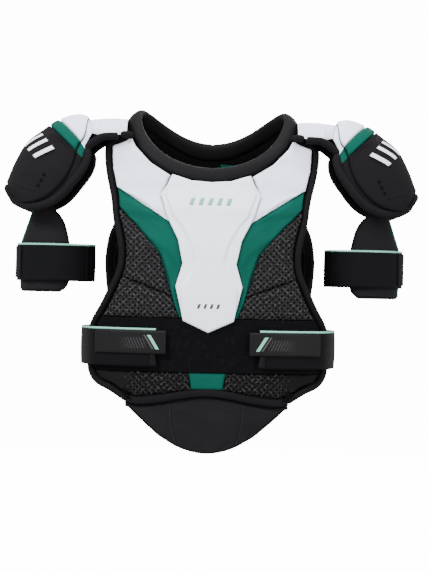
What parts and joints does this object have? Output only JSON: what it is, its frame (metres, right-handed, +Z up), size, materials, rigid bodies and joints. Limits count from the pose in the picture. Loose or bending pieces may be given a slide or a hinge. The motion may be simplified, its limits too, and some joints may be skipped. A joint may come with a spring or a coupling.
{
  "type": "hockey shoulder pads",
  "caption": "Ice hockey shoulder pads: padded chest and back panels, collar, shoulder caps, hanging arm guards, belly flap, and elastic waist and arm straps.",
  "frame": {"origin": "middle of the neck opening on the wearer's middle plane, at the height of the undersides of the shoulder rests, which sit on the wearer's shoulders", "axes": "+Z up along the wearer's body, -Y the way the wearer faces, +X towards the wearer's left arm"},
  "size_m": [0.5526, 0.2219, 0.4524],
  "materials": {
    "foam_black": "brushed nylon over foam, matt",
    "fabric_black": "fine woven polyester, matt",
    "fabric_white": "smooth coated knit, satin",
    "fabric_green": "smooth coated knit, satin",
    "mesh_black": "embossed spacer mesh, matt",
    "moulded_white": "moulded foam with a smooth coated face",
    "plastic_black": "moulded polyethylene, fine texture",
    "loop_black": "unbroken loop pile",
    "elastic_black": "ribbed elastic webbing with a pale green edge",
    "tab_rubber": "soft moulded rubber, satin"
  },
  "bodies": {
    "chest": {"accent_left": "fabric_green", "accent_right": "fabric_green", "arch_front_left": "fabric_white", "arch_front_right": "fabric_white", "chest_binding_left": "fabric_black", "chest_binding_right": "fabric_black", "chest_liner": "foam_black", "chest_mesh_left": "mesh_black", "chest_mesh_right": "mesh_black", "collar_front": "fabric_black", "hem_binding": "fabric_black", "hem_mesh_left": "mesh_black", "hem_mesh_right": "mesh_black", "hem_patch": "fabric_green", "loop_band": "loop_black", "rib_mesh_left": "mesh_black", "rib_mesh_right": "mesh_black", "shoulder_rest_left": "foam_black", "shoulder_rest_right": "foam_black", "sternum_core": "foam_black", "sternum_plate": "moulded_white", "yoke_left": "fabric_white", "yoke_right": "fabric_white"},
    "back": {"arch_rear_left": "fabric_white", "arch_rear_right": "fabric_white", "back_binding": "fabric_black", "back_liner": "foam_black", "back_mesh_left": "mesh_black", "back_mesh_right": "mesh_black", "back_yoke_left": "fabric_white", "back_yoke_right": "fabric_white", "collar_rear": "fabric_black", "lumbar_panel": "fabric_black", "spine_plate": "plastic_black", "waist_anchor_left": "elastic_black", "waist_anchor_right": "elastic_black"},
    "belly": {"belly_pad": "fabric_black"},
    "waist_strap_right": {"waist_strap_right": "elastic_black", "waist_tab_right": "tab_rubber"},
    "cap_right": {"cap_cover_right": "fabric_black", "cap_crown_right": "fabric_white", "cap_liner_right": "foam_black", "cap_shell_right": "plastic_black", "cap_stripe_right": "fabric_green"},
    "guard_right": {"arm_loop_right": "elastic_black", "guard_pad_right": "fabric_black"},
    "arm_strap_right": {"arm_strap_right": "elastic_black"},
    "waist_strap_left": {"waist_strap_left": "elastic_black", "waist_tab_left": "tab_rubber"},
    "cap_left": {"cap_cover_left": "fabric_black", "cap_crown_left": "fabric_white", "cap_liner_left": "foam_black", "cap_shell_left": "plastic_black", "cap_stripe_left": "fabric_green"},
    "guard_left": {"arm_loop_left": "elastic_black", "guard_pad_left": "fabric_black"},
    "arm_strap_left": {"arm_strap_left": "elastic_black"}
  },
  "joints": [
    {"name": "back_swing", "type": "hinge", "parent": "chest", "child": "back", "pos_m": [0, -0.008, 0.037], "axis": [1, 0, 0], "range_deg": [0, 20]},
    {"name": "belly_fold", "type": "hinge", "parent": "chest", "child": "belly", "pos_m": [0, -0.10018, -0.3454], "axis": [-1, 0, 0], "range_deg": [0, 60]},
    {"name": "waist_strap_right", "type": "hinge", "parent": "back", "child": "waist_strap_right", "pos_m": [-0.1708, 0, -0.2765], "axis": [0, 0, -1], "range_deg": [0, 80]},
    {"name": "cap_lift_right", "type": "hinge", "parent": "chest", "child": "cap_right", "pos_m": [-0.15173, -0.008, 0.028], "axis": [0, 1, 0], "range_deg": [-4, 70]},
    {"name": "guard_swing_right", "type": "hinge", "parent": "cap_right", "child": "guard_right", "pos_m": [-0.22713, 0, -0.078], "axis": [0, 1, 0], "range_deg": [-5, 30]},
    {"name": "arm_strap_open_right", "type": "hinge", "parent": "guard_right", "child": "arm_strap_right", "pos_m": [-0.16487, -0.02701, -0.168], "axis": [0, 0, 1], "range_deg": [0, 70]},
    {"name": "waist_strap_left", "type": "hinge", "parent": "back", "child": "waist_strap_left", "pos_m": [0.1708, 0, -0.2765], "axis": [0, 0, 1], "range_deg": [0, 80]},
    {"name": "cap_lift_left", "type": "hinge", "parent": "chest", "child": "cap_left", "pos_m": [0.15173, -0.008, 0.028], "axis": [0, -1, 0], "range_deg": [-4, 70]},
    {"name": "guard_swing_left", "type": "hinge", "parent": "cap_left", "child": "guard_left", "pos_m": [0.22713, 0, -0.078], "axis": [0, -1, 0], "range_deg": [-5, 30]},
    {"name": "arm_strap_open_left", "type": "hinge", "parent": "guard_left", "child": "arm_strap_left", "pos_m": [0.16487, -0.02701, -0.168], "axis": [0, 0, -1], "range_deg": [0, 70]}
  ],
  "couplings": [
    {"joint": "waist_strap_right", "follows": "back_swing", "ratio": 4},
    {"joint": "waist_strap_left", "follows": "back_swing", "ratio": 4}
  ]
}
